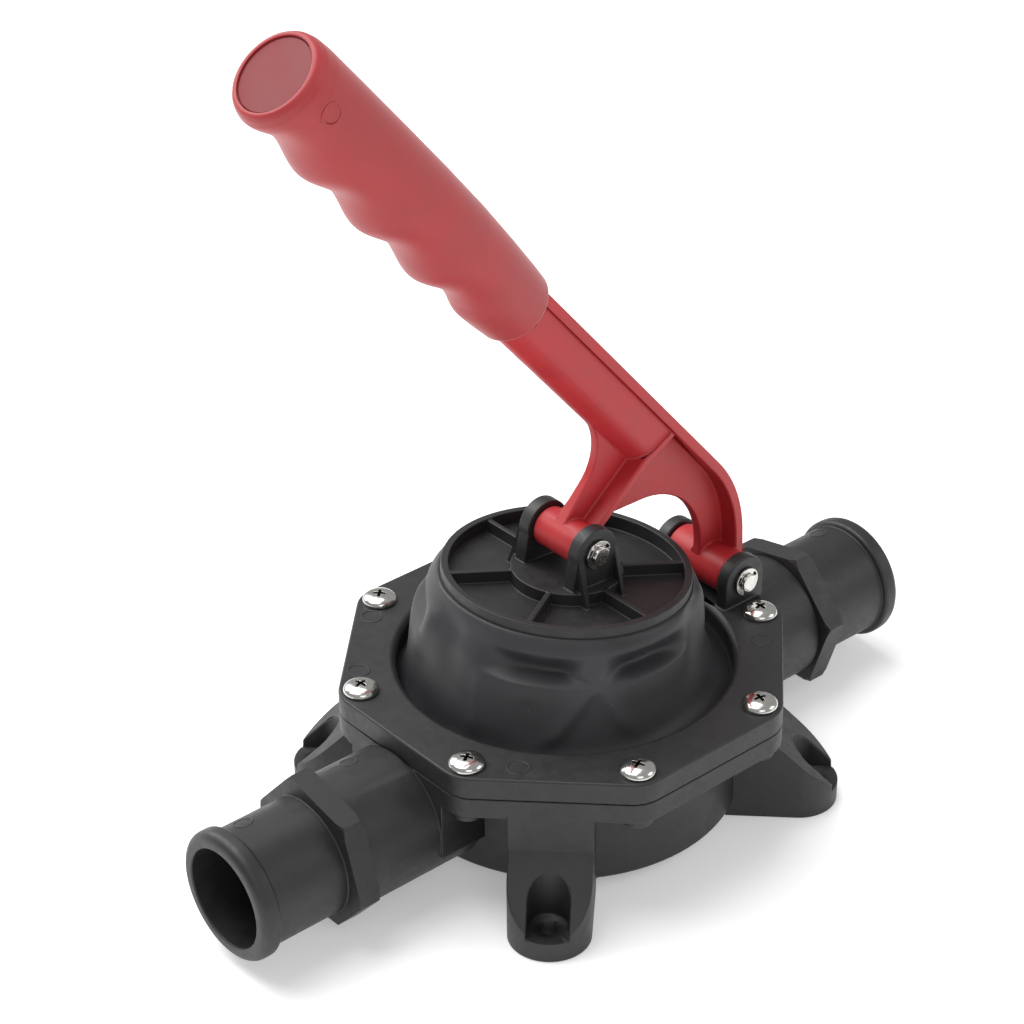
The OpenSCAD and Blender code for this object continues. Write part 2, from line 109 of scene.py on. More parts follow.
class PumpColours(bpy.types.PropertyGroup):
    nylon: bpy.props.StringProperty(
        name="Body", description="Colour of the moulded body, sRGB hex", default="#202021")
    rubber: bpy.props.StringProperty(
        name="Diaphragm", description="Colour of the rubber, sRGB hex", default="#29292c")
    lever: bpy.props.StringProperty(
        name="Lever", description="Colour of the lever, sRGB hex", default="#b42a2f")
    grip: bpy.props.StringProperty(
        name="Grip", description="Colour of the grip, sRGB hex", default="#a82c30")
    steel: bpy.props.StringProperty(
        name="Fasteners", description="Colour of the fasteners, sRGB hex", default="#d2d0cc")
    floor: bpy.props.StringProperty(
        name="Floor", description="Colour of the floor, sRGB hex", default="#f4f4f4")


# ---- materials ----


def linear(hex_text):
    """The linear red, green, blue and alpha of an sRGB hex colour."""
    channels = [int(hex_text[k:k + 2], 16) / 255 for k in (1, 3, 5)]
    return [c / 12.92 if c <= 0.04045 else ((c + 0.055) / 1.055) ** 2.4 for c in channels] + [1.0]


def shaded(colour, factor):
    """A linear colour made lighter or darker."""
    return [min(1.0, c * factor) for c in colour[:3]] + [1.0]


def add(tree, kind, settings=None, links=None):
    """Adds one node, with settings for its sockets or properties and links from other sockets."""
    made = tree.nodes.new(kind)
    for key, value in (settings or {}).items():
        if isinstance(key, int) or key in made.inputs:
            made.inputs[key].default_value = value
        else:
            setattr(made, key, value)
    for key, source in (links or {}).items():
        tree.links.new(source, made.inputs[key])
    return made


def new_material(name):
    """An empty material with its shader, and the piece's own coordinates."""
    material = bpy.data.materials.new(name)
    material.use_nodes = True
    tree = material.node_tree
    tree.nodes.clear()
    shader = add(tree, "ShaderNodeBsdfPrincipled")
    add(tree, "ShaderNodeOutputMaterial", links={"Surface": shader.outputs["BSDF"]})
    place = add(tree, "ShaderNodeTexCoord").outputs["Object"]
    return material, tree, shader, place


def noise(tree, place, size, detail=2.0, roughness=0.5, distortion=0.0):
    """Noise whose lumps are about the given size across."""
    made = add(tree, "ShaderNodeTexNoise",
               {"Scale": 1 / size, "Detail": detail, "Roughness": roughness,
                "Distortion": distortion},
               {"Vector": place})
    return made.outputs["Fac"]


def spread(tree, value, low, high, start=0.3, end=0.7):
    """Maps a value between start and end onto low to high."""
    made = add(tree, "ShaderNodeMapRange",
               {"From Min": start, "From Max": end, "To Min": low, "To Max": high},
               {"Value": value})
    return made.outputs["Result"]


def two_tones(tree, value, dark, light):
    """A colour that runs from dark to light with a value."""
    made = add(tree, "ShaderNodeMix", {"data_type": "RGBA", 6: dark, 7: light}, {0: value})
    return made.outputs[2]


def bumps(tree, shader, height, distance, strength, under=None):
    """Adds a height to the shader's normal, over another one if it's given."""
    links = {"Height": height}
    if under is not None:
        links["Normal"] = under.outputs["Normal"]
    made = add(tree, "ShaderNodeBump", {"Distance": distance, "Strength": strength}, links)
    tree.links.new(made.outputs["Normal"], shader.inputs["Normal"])
    return made


def tint(tree, shader, base, value, dark, light):
    """Colours the shader with a base colour that runs from darker to lighter with a value."""
    tone = two_tones(tree, value, shaded(base, dark), shaded(base, light))
    tree.links.new(tone, shader.inputs["Base Color"])


def dull(tree, shader, value, low, high):
    """Lets the shader's roughness run from low to high with a value."""
    tree.links.new(spread(tree, value, low, high), shader.inputs["Roughness"])


def glass_filled_nylon(colours):
    """Injection-moulded black nylon: satin, with a fine dry grain and cloudy patches."""
    material, tree, shader, place = new_material("glass_filled_nylon_black")
    clouds = noise(tree, place, 16 * MM, 4, 0.6)
    grain = noise(tree, place, 0.7 * MM, 3, 0.6)
    flow = noise(tree, place, 4 * MM, 3, 0.6, 0.8)
    tint(tree, shader, linear(colours.nylon), spread(tree, clouds, 0, 1), 0.78, 1.2)
    dull(tree, shader, flow, 0.42, 0.56)
    shader.inputs["IOR"].default_value = 1.53
    first = bumps(tree, shader, grain, 0.04 * MM, 0.35)
    bumps(tree, shader, flow, 0.12 * MM, 0.18, first)
    return material


def diaphragm_rubber(colours):
    """Moulded nitrile rubber: softly shiny, with a painted sheen that makes it paler round the
    knots of its creases, and specks of dust.
    """
    material, tree, shader, place = new_material("nitrile_rubber_black")
    base = linear(colours.rubber)
    bloom = noise(tree, place, 22 * MM, 3, 0.5)
    pores = noise(tree, place, 1.4 * MM, 3, 0.6)
    speck = add(tree, "ShaderNodeTexVoronoi", {"Scale": 1 / (7 * MM)}, {"Vector": place})
    dust = spread(tree, speck.outputs["Distance"], 0.6, 0, 0.012, 0.03)
    grey = two_tones(tree, spread(tree, bloom, 0, 1), shaded(base, 0.8), shaded(base, 1.25))
    colour = add(tree, "ShaderNodeMix", {"data_type": "RGBA", 7: linear(DUST)},
                 {0: dust, 6: grey}).outputs[2]
    # Paler rubber round each star's knot, as strong as the star: a painted sheen.
    radius = PUMP_OT_diaphragm.STAR_RADIUS * MM
    for turn, height, strength in PUMP_OT_diaphragm.STARS:
        angle = math.radians(turn)
        spot = (radius * math.cos(angle), radius * math.sin(angle), height * MM)
        away = add(tree, "ShaderNodeVectorMath", {"operation": "DISTANCE", 1: spot}, {0: place})
        near = spread(tree, away.outputs["Value"], 0.3 * strength, 0, 1 * MM, 13 * MM)
        colour = add(tree, "ShaderNodeMix", {"data_type": "RGBA", 7: linear(STAR_SHEEN_PAINTED)},
                     {0: near, 6: colour}).outputs[2]
    tree.links.new(colour, shader.inputs["Base Color"])
    dull(tree, shader, bloom, 0.46, 0.56)
    shader.inputs["IOR"].default_value = 1.5
    bumps(tree, shader, pores, 0.05 * MM, 0.2)
    return material


def seal_rubber(colours):
    """Nitrile cord and valve flaps: a plain dull black with a slight grain."""
    material, tree, shader, place = new_material("nitrile_seal_black")
    pores = noise(tree, place, 0.8 * MM, 2, 0.5)
    tint(tree, shader, linear(colours.rubber), pores, 0.7, 1.1)
    dull(tree, shader, pores, 0.48, 0.6)
    bumps(tree, shader, pores, 0.05 * MM, 0.3)
    return material


def red_lever_plastic(colours):
    """Moulded red acetal: an even colour with a satin gloss and faint flow marks."""
    material, tree, shader, place = new_material("acetal_red")
    flow = noise(tree, place, 14 * MM, 3, 0.55, 1.2)
    pores = noise(tree, place, 1.1 * MM, 3, 0.6)
    tint(tree, shader, linear(colours.lever), spread(tree, flow, 0, 1), 0.92, 1.08)
    dull(tree, shader, flow, 0.42, 0.52)
    shader.inputs["IOR"].default_value = 1.48
    bumps(tree, shader, pores, 0.05 * MM, 0.18)
    return material


def grip_vinyl(colours):
    """Soft moulded vinyl: matte, with a faint bloom and a fine even grain."""
    material, tree, shader, place = new_material("soft_vinyl_red")
    clouds = noise(tree, place, 18 * MM, 3, 0.5)
    grain = noise(tree, place, 0.6 * MM, 2, 0.5)
    tint(tree, shader, linear(colours.grip), spread(tree, clouds, 0, 1), 0.93, 1.07)
    dull(tree, shader, clouds, 0.46, 0.56)
    shader.inputs["IOR"].default_value = 1.52
    shader.inputs["Sheen Weight"].default_value = 0.2
    shader.inputs["Sheen Roughness"].default_value = 0.4
    bumps(tree, shader, grain, 0.03 * MM, 0.3)
    return material


def shaded_disc_vinyl(colours):
    """The vinyl of the disc in the grip's end: duller than the grip's, and darker by painted shade.
    """
    material, tree, shader, place = new_material("disc_vinyl_red")
    clouds = noise(tree, place, 9 * MM, 3, 0.5)
    grain = noise(tree, place, 0.6 * MM, 2, 0.5)
    # The grip's colour at about half its brightness: painted shade on the disc's end face.
    tint(tree, shader, linear(colours.grip), spread(tree, clouds, 0, 1), 0.5, 0.58)
    dull(tree, shader, clouds, 0.5, 0.6)
    shader.inputs["IOR"].default_value = 1.48
    bumps(tree, shader, grain, 0.03 * MM, 0.3)
    return material


def polished_stainless(colours):
    """Tumbled and polished stainless steel: bright, with fine pits and slight waves."""
    material, tree, shader, place = new_material("stainless_steel_polished")
    wave = noise(tree, place, 2.5 * MM, 2, 0.5)
    pits = noise(tree, place, 0.35 * MM, 2, 0.6)
    tint(tree, shader, linear(colours.steel), spread(tree, wave, 0, 1), 0.9, 1.05)
    dull(tree, shader, pits, 0.12, 0.24)
    shader.inputs["Metallic"].default_value = 1.0
    bumps(tree, shader, wave, 0.08 * MM, 0.25)
    return material


def recess_steel():
    """The unpolished insides of a driven recess: rough, and painted dark as shade."""
    material, tree, shader, place = new_material("stainless_steel_recess_shade")
    shade_mottle = noise(tree, place, 1.5 * MM, 3, 0.6)
    # The recess's steel runs at random between two dark colours: painted shade.
    tone = two_tones(tree, shade_mottle, linear(RECESS_SHADE_DARK), linear(RECESS_SHADE_PALE))
    tree.links.new(tone, shader.inputs["Base Color"])
    dull(tree, shader, shade_mottle, 0.42, 0.6)
    shader.inputs["Metallic"].default_value = 1.0
    return material


def studio_paper(colours):
    """Seamless white paper: matte, with the faintest fibre."""
    material, tree, shader, place = new_material("studio_paper_white")
    fibre = noise(tree, place, 3 * MM, 2, 0.5)
    tint(tree, shader, linear(colours.floor), fibre, 0.995, 1.0)
    shader.inputs["Roughness"].default_value = 0.75
    shader.inputs["Specular IOR Level"].default_value = 0.2
    shader.inputs["Emission Color"].default_value = (1, 1, 1, 1)
    shader.inputs["Emission Strength"].default_value = 0.3
    return material


MATERIALS = {}
FINISHES = {
    "nylon": glass_filled_nylon,
    "rubber": diaphragm_rubber,
    "seal": seal_rubber,
    "lever": red_lever_plastic,
    "grip": grip_vinyl,
    "disc": shaded_disc_vinyl,
    "steel": polished_stainless,
    "paper": studio_paper,
}


def finish(piece, kind):
    """Gives a piece one finish, made the first time it's asked for."""
    if kind not in MATERIALS:
        MATERIALS[kind] = FINISHES[kind](bpy.context.scene.pump_colours)
    piece.data.materials.clear()
    piece.data.materials.append(MATERIALS[kind])
    return piece


# ---- modelling helpers ----


def select_only(*pieces):
    """Deselects everything but these pieces, and makes the first one active."""
    for other in bpy.context.scene.objects:
        other.select_set(False)
    for piece in pieces:
        piece.select_set(True)
    bpy.context.view_layer.objects.active = pieces[0]


def apply_modifier(piece, kind, **settings):
    """Adds a modifier, sets it and applies it."""
    modifier = piece.modifiers.new(kind.lower(), kind)
    for key, value in settings.items():
        setattr(modifier, key, value)
    select_only(piece)
    bpy.ops.object.modifier_apply(modifier=modifier.name)


def smooth(piece, angle=35):
    """Shades a piece smooth except over its sharp edges."""
    select_only(piece)
    bpy.ops.object.shade_smooth_by_angle(angle=math.radians(angle))
    return piece


def in_edit_mode(piece, *steps):
    """Runs edit-mode operators on all of a piece's mesh."""
    select_only(piece)
    bpy.ops.object.mode_set(mode="EDIT")
    bpy.ops.mesh.select_all(action="SELECT")
    for step in steps:
        step()
    bpy.ops.object.mode_set(mode="OBJECT")
    return piece


def settle(piece):
    """Puts a piece's place into its mesh, so that its object is at the origin."""
    select_only(piece)
    bpy.ops.object.transform_apply(location=True, rotation=True, scale=True)
    return piece


def joined(name, *pieces):
    """One object made of several."""
    select_only(*pieces)
    if len(pieces) > 1:
        bpy.ops.object.join()
    piece = bpy.context.view_layer.objects.active
    piece.name = name
    return piece


def rounded_copy(node, name, radius, segments=2, share=None, loose=None):
    """A copy of a CAD node with its moulded edges rounded, which stands for the node.

    share gives, for the middle of an edge, how much of the radius that edge takes. loose
    tells of a face's middle whether its triangles are joined into one face."""
    merge, flat, sharp = 0.002 * MM, math.radians(0.6), math.radians(30)
    mesh = frame["nodes"][node].data.copy()
    piece = linked(name, mesh)
    in_edit_mode(piece, lambda: bpy.ops.mesh.remove_doubles(threshold=merge))
    shape = bmesh.new()
    shape.from_mesh(mesh)
    kept = {face for face in shape.faces if loose and not loose(face.calc_center_median())}
    edges = [edge for edge in shape.edges if not kept.intersection(edge.link_faces)]
    verts = [vert for vert in shape.verts if not kept.intersection(vert.link_faces)]
    bmesh.ops.dissolve_limit(shape, angle_limit=flat, edges=edges, verts=verts)
    weight = shape.edges.layers.float.new("bevel_weight_edge")
    for edge in shape.edges:
        if edge.is_manifold and edge.calc_face_angle(0.0) > sharp:
            middle = (edge.verts[0].co + edge.verts[1].co) / 2
            edge[weight] = share(middle) if share else 1.0
    shape.to_mesh(mesh)
    shape.free()
    apply_modifier(piece, "BEVEL", width=radius, segments=segments, limit_method="WEIGHT",
                   use_clamp_overlap=False, miter_outer="MITER_ARC")
    smooth(piece, 40)
    apply_modifier(piece, "WEIGHTED_NORMAL", mode="FACE_AREA", weight=60, keep_sharp=True)
    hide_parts(node)
    return piece


def linked(name, data):
    """A new object that holds a mesh, a light or a camera."""
    piece = bpy.data.objects.new(name, data)
    bpy.context.scene.collection.objects.link(piece)
    return piece


def skin(name, rings, close_start, close_end):
    """A tube through rings of points, with its ends closed by a fan of faces or left open."""
    shape = bmesh.new()
    rows = [[shape.verts.new(point) for point in ring] for ring in rings]
    count = len(rows[0])
    for row, following in zip(rows, rows[1:]):
        for k in range(count):
            after = (k + 1) % count
            shape.faces.new((row[k], row[after], following[after], following[k]))
    for row, wanted in ((rows[0], close_start), (rows[-1], close_end)):
        if wanted:
            middle = shape.verts.new(sum((vert.co for vert in row), Vector()) / count)
            for k in range(count):
                shape.faces.new((row[k], row[(k + 1) % count], middle))
    bmesh.ops.recalc_face_normals(shape, faces=shape.faces)
    mesh = bpy.data.meshes.new(name)
    shape.to_mesh(mesh)
    shape.free()
    return linked(name, mesh)


def turned(name, profile, steps):
    """A turned shape about Z: points of radius and height, spun once round."""
    mesh = bpy.data.meshes.new(name)
    edges = [(k, k + 1) for k in range(len(profile) - 1)]
    mesh.from_pydata([(r, 0, z) for r, z in profile], edges, [])
    return in_edit_mode(
        linked(name, mesh),
        lambda: bpy.ops.mesh.spin(steps=steps, angle=2 * math.pi, center=(0, 0, 0),
                                  axis=(0, 0, 1)),
        lambda: bpy.ops.mesh.select_all(action="SELECT"),
        lambda: bpy.ops.mesh.remove_doubles(threshold=0.003 * MM),
        lambda: bpy.ops.mesh.normals_make_consistent(inside=False),
    )


def curve_through(points, share):
    """A point on the smooth curve through some points, at a share of the way from first to last."""
    spans = len(points) - 1
    at = min(max(share, 0.0), 1.0) * spans
    k = min(int(at), spans - 1)
    t = at - k
    before, start = points[max(k - 1, 0)], points[k]
    end, after = points[k + 1], points[min(k + 2, spans)]
    return [0.5 * (2 * b + (c - a) * t + (2 * a - 5 * b + 4 * c - d) * t * t
                   + (3 * b - a - 3 * c + d) * t ** 3)
            for a, b, c, d in zip(before, start, end, after)]


def hill(value, width):
    """A smooth hill one high at zero and about the given half-width."""
    return math.exp(-(value / width) ** 2)


def ease(value, start, end):
    """Rises smoothly from nothing at start to one at end."""
    t = min(max((value - start) / (end - start), 0.0), 1.0)
    return t * t * (3 - 2 * t)


def lever_point(along, across, side):
    """A point of the lever: along it from the fulcrum, across it toward the plate, to one side."""
    slope = bpy.context.scene.pump_sizes.lever_slope
    u = Vector((-math.cos(slope), 0, math.sin(slope)))
    v = Vector((-math.sin(slope), 0, -math.cos(slope)))
    return FULCRUM + along * u + across * v + Vector((0, side, 0))


def pin_mark(radius, bead):
    """The raised circle that a mould's ejector pin leaves, lying flat on the origin."""
    bpy.ops.mesh.primitive_torus_add(major_radius=radius, minor_radius=bead,
                                     major_segments=48, minor_segments=8)
    return bpy.context.object


def witness_ring(x, y, z, radius=3.3, barrel=0.0):
    """An ejector pin's mark at a place in mm, wrapped over a barrel along X if it has a radius."""
    ring = pin_mark(radius * MM, 0.27 * MM)
    for vertex in ring.data.vertices:
        vertex.co.z *= 0.7
        if barrel:
            side = (y + vertex.co.y / MM) / barrel
            vertex.co.z += barrel * MM * (math.sqrt(1 - side * side) - 1)
    ring.location = (x * MM, y * MM, z * MM)
    return settle(ring)


# ---- pieces ----


class PUMP_OT_body(bpy.types.Operator):
    """Moulded body with its bowl, feet and necks, and the clamp ring on top"""
    bl_idname = "pump.body"
    bl_label = "Body and clamp ring"

    # All in mm.
    HOLE_OFFSET = 55.5       # of each mounting hole from both axes
    POCKET_RADIUS = 15       # of the space round a hole that holds all of a foot's pocket
    POCKET_FLOOR = 7         # height under which a pocket's floor lies
    BOWL_INSIDE = 52
    RIBS = (15, 60)          # lowest and highest point of the ribs under the flange
    RIBS_RADIUS = 75
    RING_MARKS = ((50.5, -36.4), (-33.0, 55.1), (-54.7, 34.1), (36.4, 50.5), (-50.5, -36.4))
    # On each side of the pump: the place, the mark's radius and the radius that it lies on.
    SIDE_MARKS = ((120.2, 6.1, 43.5, 2.9, 19), (80.4, 6.9, 45.7, 2.7, 21.2))

    def in_pocket(self, middle):
        """Whether a point lies at the bottom of a foot's pocket, round its mounting hole."""
        away = math.hypot(abs(middle.x) / MM - self.HOLE_OFFSET,
                          abs(middle.y) / MM - self.HOLE_OFFSET)
        return middle.z < self.POCKET_FLOOR * MM and away < self.POCKET_RADIUS

    def share(self, middle):
        """No rounding under the feet, in their pockets or in the bowl, about half of one on the
        ribs under the flange, a full one elsewhere."""
        out = math.hypot(middle.x, middle.y)
        if middle.z < 0.1 * MM or out < self.BOWL_INSIDE * MM or self.in_pocket(middle):
            return 0.0
        low, high = self.RIBS
        on_ribs = low * MM < middle.z < high * MM and out < self.RIBS_RADIUS * MM
        return 0.55 if on_ribs else 1.0

    def loose(self, middle):
        """The pockets' floors keep their triangles, because a hole runs through them."""
        return not self.in_pocket(middle)

    def execute(self, context):
        radius = context.scene.pump_sizes.edge_radius
        body = rounded_copy("pump_body", "body_shell", radius, share=self.share, loose=self.loose)
        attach(finish(body, "nylon"), "base")
        ring = rounded_copy("clamp_ring", "clamp_ring_moulded", radius * 1.2, 3)
        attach(finish(ring, "nylon"), "base")
        marks = [witness_ring(x, y, RING_TOP / MM) for x, y in self.RING_MARKS]
        for x, *rest in self.SIDE_MARKS:
            marks += [witness_ring(side * x, *rest) for side in (-1, 1)]
        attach(finish(joined("ejector_marks", *marks), "nylon"), "base")
        return {"FINISHED"}


class PUMP_OT_tails(bpy.types.Operator):
    """Hose tails with their hexagons and beads, and the seal rings behind them"""
    bl_idname = "pump.tails"
    bl_label = "Hose tails"

    NECK_END = 95 * MM
    HEXAGON_END = 102 * MM
    BARREL_OUTSIDE = 19.6 * MM

    def share(self, middle):
        """No rounding on the hexagon, whose corners are chamfered, nor inside the neck."""
        along = abs(middle.x)
        across = math.hypot(middle.y, middle.z - PORT_HEIGHT)
        on_hexagon = along < self.HEXAGON_END and across > self.BARREL_OUTSIDE
        return 0.0 if on_hexagon or along < self.NECK_END else 1.0

    def execute(self, context):
        radius = context.scene.pump_sizes.edge_radius
        for port in ("inlet", "outlet"):
            tail = rounded_copy(f"{port}_hose_tail", f"{port}_tail_moulded", radius * 0.8,
                                share=self.share)
            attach(finish(tail, "nylon"), "base")
            finish(frame["nodes"][f"{port}_seal_ring"], "seal")
        return {"FINISHED"}


class PUMP_OT_diaphragm(bpy.types.Operator):
    """Rubber diaphragm, folded and bulging between its clamp and its plate"""
    bl_idname = "pump.diaphragm"
    bl_label = "Diaphragm"

    STEPS_ROUND = 240
    STEPS_DOWN = 150
    FULL_SIDE = 139.6        # direction in which the wall bulges most, in degrees
    # Down the wall, radius and height in mm: where it bulges most, and where it bulges least.
    FULL = ((42.6, 78.0), (45.4, 73.0), (47.4, 66.5), (48.4, 60.0), (49.2, 54.0), (50.2, 48.5))
    SLACK = ((41.0, 74.2), (41.6, 69.0), (42.1, 63.5), (43.1, 58.0), (45.0, 53.0), (47.6, 48.5))
    # The wall's two ends, in mm. The plate is tilted, so its rim is lower at +X than at -X.
    PLATE_EDGE = 38.9        # radius at which the wall starts under the plate's rim
    PLATE_SHIFT = 1          # of the plate's middle toward +X
    WALL_TOP = 80.2          # height at which the wall starts, at the plate's middle
    PLATE_FALL = 39 * math.tan(math.radians(4.8))     # from the plate's middle to its rim at +X
    UNDERSIDE = 76.3         # of the plate, at its middle
    PLATE_SLOPE = 0.084
    UNDER_PLATE = (5, 20, 36.3)
    CLAMP_EDGE = (51.9, 45.2)
    CLAMP_RADIUS = 61.9
    CLAMP_TOP, CLAMP_BOTTOM = 44.25, 42.4
    THICKNESS = 1.2
    # Each star of creases: its direction in degrees, its height in mm and its strength.
    STARS = ((-119.5, 70.2, 1.0), (8.0, 67.5, 0.75), (112.0, 71.5, 0.8))
    # Each upright fold: its direction in degrees, how it leans, and its strength.
    UPRIGHT = ((160, 0.3, 0.28), (178, -0.2, -0.22), (-62, 0.3, -0.2),
               (-46, 0.2, 0.24), (60, -0.3, 0.25), (48, -0.2, -0.2))
    # Radius of the wall, in mm, at which each of them is laid out.
    STAR_RADIUS = 43
    CREASE_RADIUS = 46
    UPRIGHT_RADIUS = 44

    def wall(self, turn, share):
        """The smooth wall's radius and height, in mm, in a direction at a share of the way down."""
        top = self.WALL_TOP - self.PLATE_FALL * math.cos(math.radians(turn))
        full = ((self.PLATE_EDGE, top), (40.2, top - 0.5)) + self.FULL + (self.CLAMP_EDGE,)
        slack = ((self.PLATE_EDGE, top), (39.8, top - 1.0)) + self.SLACK + (self.CLAMP_EDGE,)
        blend = 0.5 + 0.5 * math.cos(math.radians(turn - self.FULL_SIDE))
        mixed = [[blend * a + (1 - blend) * b for a, b in zip(p, q)] for p, q in zip(full, slack)]
        return curve_through(mixed, share)

    def away(self, turn, middle):
        """How far one direction lies from another, from -180 to 180 degrees."""
        return (turn - middle + 180) % 360 - 180

    def fold(self, turn, height, star):
        """How far one star of creases moves the wall outward, as a share of the fold depth."""
        middle, level, strength = star
        away = self.away(turn, middle)
        if abs(away) > 78:
            return 0.0
        # u is the way round the wall from the star's middle, v the height over it, both in mm.
        u = math.radians(away) * self.CREASE_RADIUS
        v = height - level
        # The crease: two arms from the middle, sharp below and soft above, which die out.
        up = v - (0.06 * abs(u) if u < 0 else -0.02 * u)
        reach = ease(abs(u), 0, 13) * (1 - ease(abs(u), 24, 41))
        if up > 0:
            crease = -1 + ease(up, 0, 7)
        else:
            crease = -1 + 1.12 * ease(-up, 0, 2.8) - 0.12 * ease(-up, 2.8, 18)
        # The swelling over it, and the small knot where its arms meet.
        brow = 0.1 * hill(up - 8, 2.8) * (1 - ease(abs(u), 30, 46))
        core = 0.12 * hill(math.hypot(u, v), 3.0)
        # Rays that run down from the knot, and the edge and hollow of the panel beside them.
        down_left = 0.17 * hill(u - 0.74 * v, 3.0) * ease(-v, 0, 5) * (1 - ease(-v, 16, 26))
        down_right = 0.14 * hill(u + 0.48 * v, 2.6) * ease(-v, 0, 5) * (1 - ease(-v, 13, 22))
        panel = 0.13 * hill(u + 37, 2.6) * ease(-v, -2, 4) * (1 - ease(-v, 16, 26))
        pocket = -0.08 * hill(u + 21, 4.0) * ease(-v, 3, 9) * (1 - ease(-v, 17, 26))
        return strength * (reach * crease + brow + down_left + down_right + panel + pocket + core)

    def upright_fold(self, turn, height):
        """Soft folds that run down from the plate's rim between the stars."""
        total = 0.0
        for middle, lean, strength in self.UPRIGHT:
            u = math.radians(self.away(turn, middle)) * self.UPRIGHT_RADIUS
            u -= lean * (height - 72)
            span = (1 - ease(height, 76, 82)) * ease(height, 54, 68)
            total += strength * hill(u, 5.0) * span
        return total

    def circle(self, radius, height, shift=0.0, lean=0.0):
        """A round ring of points, moved along X and leaning down toward +X; sizes in mm."""
        ring = []
        for k in range(self.STEPS_ROUND):
            angle = 2 * math.pi * k / self.STEPS_ROUND
            x = radius * math.cos(angle)
            ring.append(MM * Vector((x + shift, radius * math.sin(angle), height - x * lean)))
        return ring

    def folded_ring(self, share, depth):
        """The ring of the folded wall at a share of the way down."""
        held = ease(share, 0.05, 0.16) * (1 - ease(share, 0.72, 0.95))
        ring = []
        for k in range(self.STEPS_ROUND):
            turn = 360 * k / self.STEPS_ROUND
            radius, height = self.wall(turn, share)
            moved = sum(self.fold(turn, height, star) for star in self.STARS)
            radius += depth * held * (moved + self.upright_fold(turn, height))
            angle = math.radians(turn)
            ring.append(MM * Vector((radius * math.cos(angle) + self.PLATE_SHIFT * (1 - share),
                                     radius * math.sin(angle), height)))
        return ring

    def execute(self, context):
        depth = context.scene.pump_sizes.fold_depth / MM
        inner = [self.circle(radius, self.UNDERSIDE, self.PLATE_SHIFT, self.PLATE_SLOPE)
                 for radius in self.UNDER_PLATE]
        folded = [self.folded_ring(row / self.STEPS_DOWN, depth)
                  for row in range(self.STEPS_DOWN + 1)]
        under = [self.circle(self.CLAMP_RADIUS, height)
                 for height in (self.CLAMP_TOP, self.CLAMP_BOTTOM)]
        piece = skin("diaphragm_moulded", inner + folded + under, True, False)
        apply_modifier(piece, "SOLIDIFY", thickness=self.THICKNESS * MM, offset=-1)
        smooth(piece, 60)
        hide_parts("diaphragm")
        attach(finish(piece, "rubber"), "base")
        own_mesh(piece)
        return {"FINISHED"}


class PUMP_OT_plate(bpy.types.Operator):
    """Diaphragm plate with its ribs and clevis, and the plate and bolt under the rubber"""
    bl_idname = "pump.plate"
    bl_label = "Diaphragm plate"

    def execute(self, context):
        radius = context.scene.pump_sizes.edge_radius
        plate = rounded_copy("upper_plate", "plate_moulded", radius * 0.6)
        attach(finish(plate, "nylon"), "plate")
        finish(frame["nodes"]["lower_plate"], "nylon")
        finish(frame["nodes"]["plate_bolt"], "steel")
        finish(frame["nodes"]["plate_bolt_washer"], "steel")
        return {"FINISHED"}


class PUMP_OT_lever(bpy.types.Operator):
    """Red lever with its web, flange and two eyes"""
    bl_idname = "pump.lever"
    bl_label = "Lever"

    def execute(self, context):
        radius = context.scene.pump_sizes.edge_radius
        lever = rounded_copy("lever", "lever_moulded", radius * 1.2, 3)
        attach(finish(lever, "lever"), "lever")
        return {"FINISHED"}


